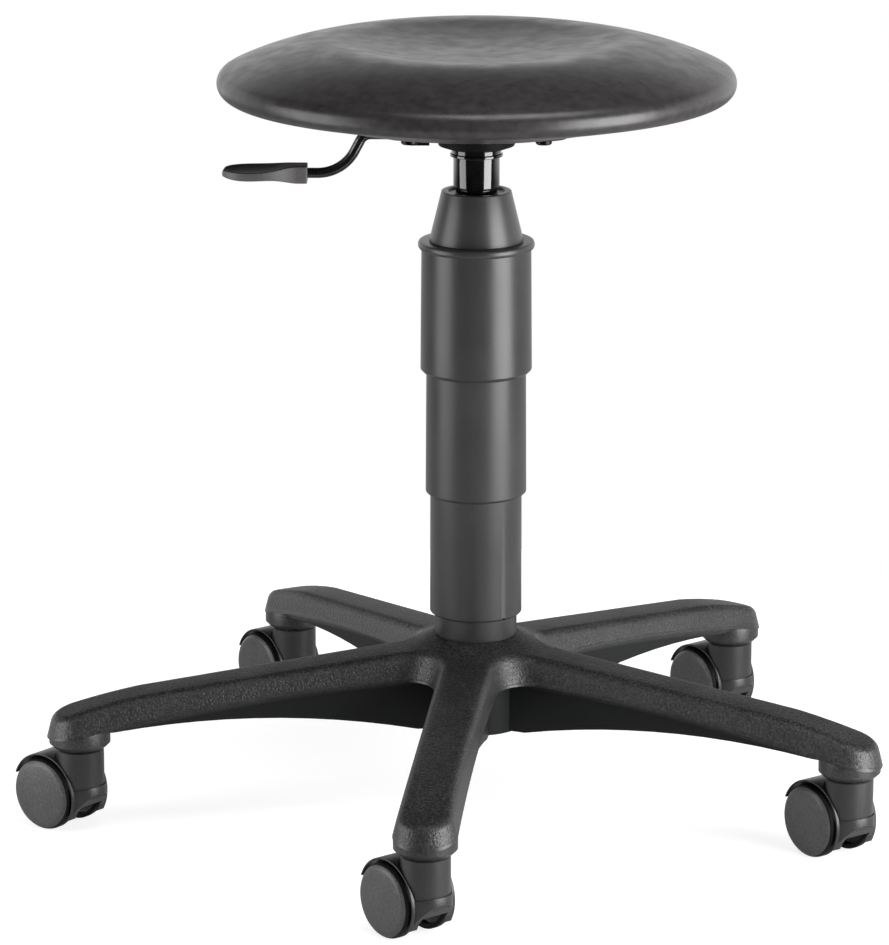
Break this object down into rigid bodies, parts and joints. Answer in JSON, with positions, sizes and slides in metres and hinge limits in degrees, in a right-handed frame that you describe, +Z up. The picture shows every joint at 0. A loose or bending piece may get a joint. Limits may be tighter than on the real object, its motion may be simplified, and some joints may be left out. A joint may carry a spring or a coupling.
{
  "type": "swivel stool",
  "caption": "Round padded swivel stool on a gas column with a telescoping cover, a height lever under the seat and a star base on castors.",
  "frame": {"origin": "on the floor under the axis of the column", "axes": "+Z up along the column; -Y towards the front arm of the base; +X to the right, completing the right hand"},
  "size_m": [0.5925, 0.5636, 0.5353],
  "materials": {
    "seat_cover": "satin",
    "plywood": "matte",
    "black_enamel": "gloss",
    "lever_enamel": "satin",
    "zinc_steel": "satin",
    "grip_plastic": "satin",
    "nylon": "matte",
    "rubber": "matte",
    "cover_plastic": "satin",
    "base_nylon": "textured",
    "castor_plastic": "satin",
    "wheel_plastic": "textured"
  },
  "bodies": {
    "root": {"base_star": "base_nylon", "hub_sleeve": "zinc_steel", "outer_tube": "zinc_steel", "guide_bush": "nylon", "piston_rod": "zinc_steel", "piston": "zinc_steel", "retaining_clip": "zinc_steel", "bearing_balls": "zinc_steel", "bearing_washers": "zinc_steel", "rubber_bumper": "rubber", "cover_base_ring": "cover_plastic", "castor_liners": "zinc_steel", "castor_grip_rings": "zinc_steel"},
    "lower_cover": {"cover_lower_section": "cover_plastic"},
    "middle_cover": {"cover_middle_section": "cover_plastic"},
    "column": {"cover_top_section": "cover_plastic", "cover_cone": "cover_plastic"},
    "seat": {"pressure_tube": "black_enamel", "tube_seal": "rubber", "valve_block": "nylon", "cone_socket": "black_enamel", "socket_collar": "black_enamel", "seat_plate": "black_enamel", "pivot_ears": "black_enamel", "seat_board": "plywood", "tee_nuts": "zinc_steel", "seat_screws": "zinc_steel", "seat_washers": "zinc_steel", "seat_cushion": "seat_cover"},
    "lever": {"lever_rod": "lever_enamel", "lever_grip": "grip_plastic", "lever_bush": "nylon"},
    "release": {"release_pin": "zinc_steel"},
    "castor_front": {"castor_front_stem": "zinc_steel", "castor_front_housing": "castor_plastic", "castor_front_axle": "zinc_steel"},
    "wheel_front_left": {"castor_front_wheel_left": "wheel_plastic"},
    "wheel_front_right": {"castor_front_wheel_right": "wheel_plastic"},
    "castor_right": {"castor_right_stem": "zinc_steel", "castor_right_housing": "castor_plastic", "castor_right_axle": "zinc_steel"},
    "wheel_right_left": {"castor_right_wheel_left": "wheel_plastic"},
    "wheel_right_right": {"castor_right_wheel_right": "wheel_plastic"},
    "castor_back_right": {"castor_back_right_stem": "zinc_steel", "castor_back_right_housing": "castor_plastic", "castor_back_right_axle": "zinc_steel"},
    "wheel_back_right_left": {"castor_back_right_wheel_left": "wheel_plastic"},
    "wheel_back_right_right": {"castor_back_right_wheel_right": "wheel_plastic"},
    "castor_back_left": {"castor_back_left_stem": "zinc_steel", "castor_back_left_housing": "castor_plastic", "castor_back_left_axle": "zinc_steel"},
    "wheel_back_left_left": {"castor_back_left_wheel_left": "wheel_plastic"},
    "wheel_back_left_right": {"castor_back_left_wheel_right": "wheel_plastic"},
    "castor_left": {"castor_left_stem": "zinc_steel", "castor_left_housing": "castor_plastic", "castor_left_axle": "zinc_steel"},
    "wheel_left_left": {"castor_left_wheel_left": "wheel_plastic"},
    "wheel_left_right": {"castor_left_wheel_right": "wheel_plastic"}
  },
  "joints": [
    {"name": "seat_height", "type": "slide", "parent": "root", "child": "column", "axis": [0, 0, 1], "range_m": [-0.1, 0.05]},
    {"name": "middle_cover_slide", "type": "slide", "parent": "root", "child": "middle_cover", "axis": [0, 0, 1], "range_m": [-0.05, 0.025]},
    {"name": "lower_cover_slide", "type": "slide", "parent": "root", "child": "lower_cover", "axis": [0, 0, 1], "range_m": [-0.012, 0.006]},
    {"name": "seat_swivel", "type": "hinge", "parent": "column", "child": "seat", "pos_m": [0, 0, 0.45], "axis": [0, 0, 1], "continuous": true},
    {"name": "height_lever", "type": "hinge", "parent": "seat", "child": "lever", "pos_m": [-0.03775, -0.00437, 0.472], "axis": [-0.1149, 0.9934, 0], "range_deg": [0, 4.5], "stiffness_Nm_per_rad": 8, "springref_deg": -5.73},
    {"name": "pin_press", "type": "slide", "parent": "seat", "child": "release", "axis": [0, 0, -1], "range_m": [0, 0.003]},
    {"name": "castor_front_swivel", "type": "hinge", "parent": "root", "child": "castor_front", "pos_m": [0, -0.275, 0.07], "axis": [0, 0, 1], "continuous": true},
    {"name": "wheel_front_left_spin", "type": "hinge", "parent": "castor_front", "child": "wheel_front_left", "pos_m": [-0.01379, -0.2615, 0.025], "axis": [0.6997, 0.7145, 0], "continuous": true},
    {"name": "wheel_front_right_spin", "type": "hinge", "parent": "castor_front", "child": "wheel_front_right", "pos_m": [-0.01379, -0.2615, 0.025], "axis": [0.6997, 0.7145, 0], "continuous": true},
    {"name": "castor_right_swivel", "type": "hinge", "parent": "root", "child": "castor_right", "pos_m": [0.26154, -0.08498, 0.07], "axis": [0, 0, 1], "continuous": true},
    {"name": "wheel_right_left_spin", "type": "hinge", "parent": "castor_right", "child": "wheel_right_left", "pos_m": [0.24823, -0.071, 0.025], "axis": [0.7242, 0.6896, 0], "continuous": true},
    {"name": "wheel_right_right_spin", "type": "hinge", "parent": "castor_right", "child": "wheel_right_right", "pos_m": [0.24823, -0.071, 0.025], "axis": [0.7242, 0.6896, 0], "continuous": true},
    {"name": "castor_back_right_swivel", "type": "hinge", "parent": "root", "child": "castor_back_right", "pos_m": [0.16164, 0.22248, 0.07], "axis": [0, 0, 1], "continuous": true},
    {"name": "wheel_back_right_left_spin", "type": "hinge", "parent": "castor_back_right", "child": "wheel_back_right_left", "pos_m": [0.14776, 0.23589, 0.025], "axis": [0.6947, 0.7193, 0], "continuous": true},
    {"name": "wheel_back_right_right_spin", "type": "hinge", "parent": "castor_back_right", "child": "wheel_back_right_right", "pos_m": [0.14776, 0.23589, 0.025], "axis": [0.6947, 0.7193, 0], "continuous": true},
    {"name": "castor_back_left_swivel", "type": "hinge", "parent": "root", "child": "castor_back_left", "pos_m": [-0.16164, 0.22248, 0.07], "axis": [0, 0, 1], "continuous": true},
    {"name": "wheel_back_left_left_spin", "type": "hinge", "parent": "castor_back_left", "child": "wheel_back_left_left", "pos_m": [-0.17552, 0.23589, 0.025], "axis": [0.6947, 0.7193, 0], "continuous": true},
    {"name": "wheel_back_left_right_spin", "type": "hinge", "parent": "castor_back_left", "child": "wheel_back_left_right", "pos_m": [-0.17552, 0.23589, 0.025], "axis": [0.6947, 0.7193, 0], "continuous": true},
    {"name": "castor_left_swivel", "type": "hinge", "parent": "root", "child": "castor_left", "pos_m": [-0.26154, -0.08498, 0.07], "axis": [0, 0, 1], "continuous": true},
    {"name": "wheel_left_left_spin", "type": "hinge", "parent": "castor_left", "child": "wheel_left_left", "pos_m": [-0.27784, -0.07464, 0.025], "axis": [0.5358, 0.8443, 0], "continuous": true},
    {"name": "wheel_left_right_spin", "type": "hinge", "parent": "castor_left", "child": "wheel_left_right", "pos_m": [-0.27784, -0.07464, 0.025], "axis": [0.5358, 0.8443, 0], "continuous": true}
  ],
  "couplings": [
    {"joint": "middle_cover_slide", "follows": "seat_height", "ratio": 0.5},
    {"joint": "lower_cover_slide", "follows": "seat_height", "ratio": 0.12},
    {"joint": "pin_press", "follows": "height_lever", "m_per_rad": 0.038}
  ]
}
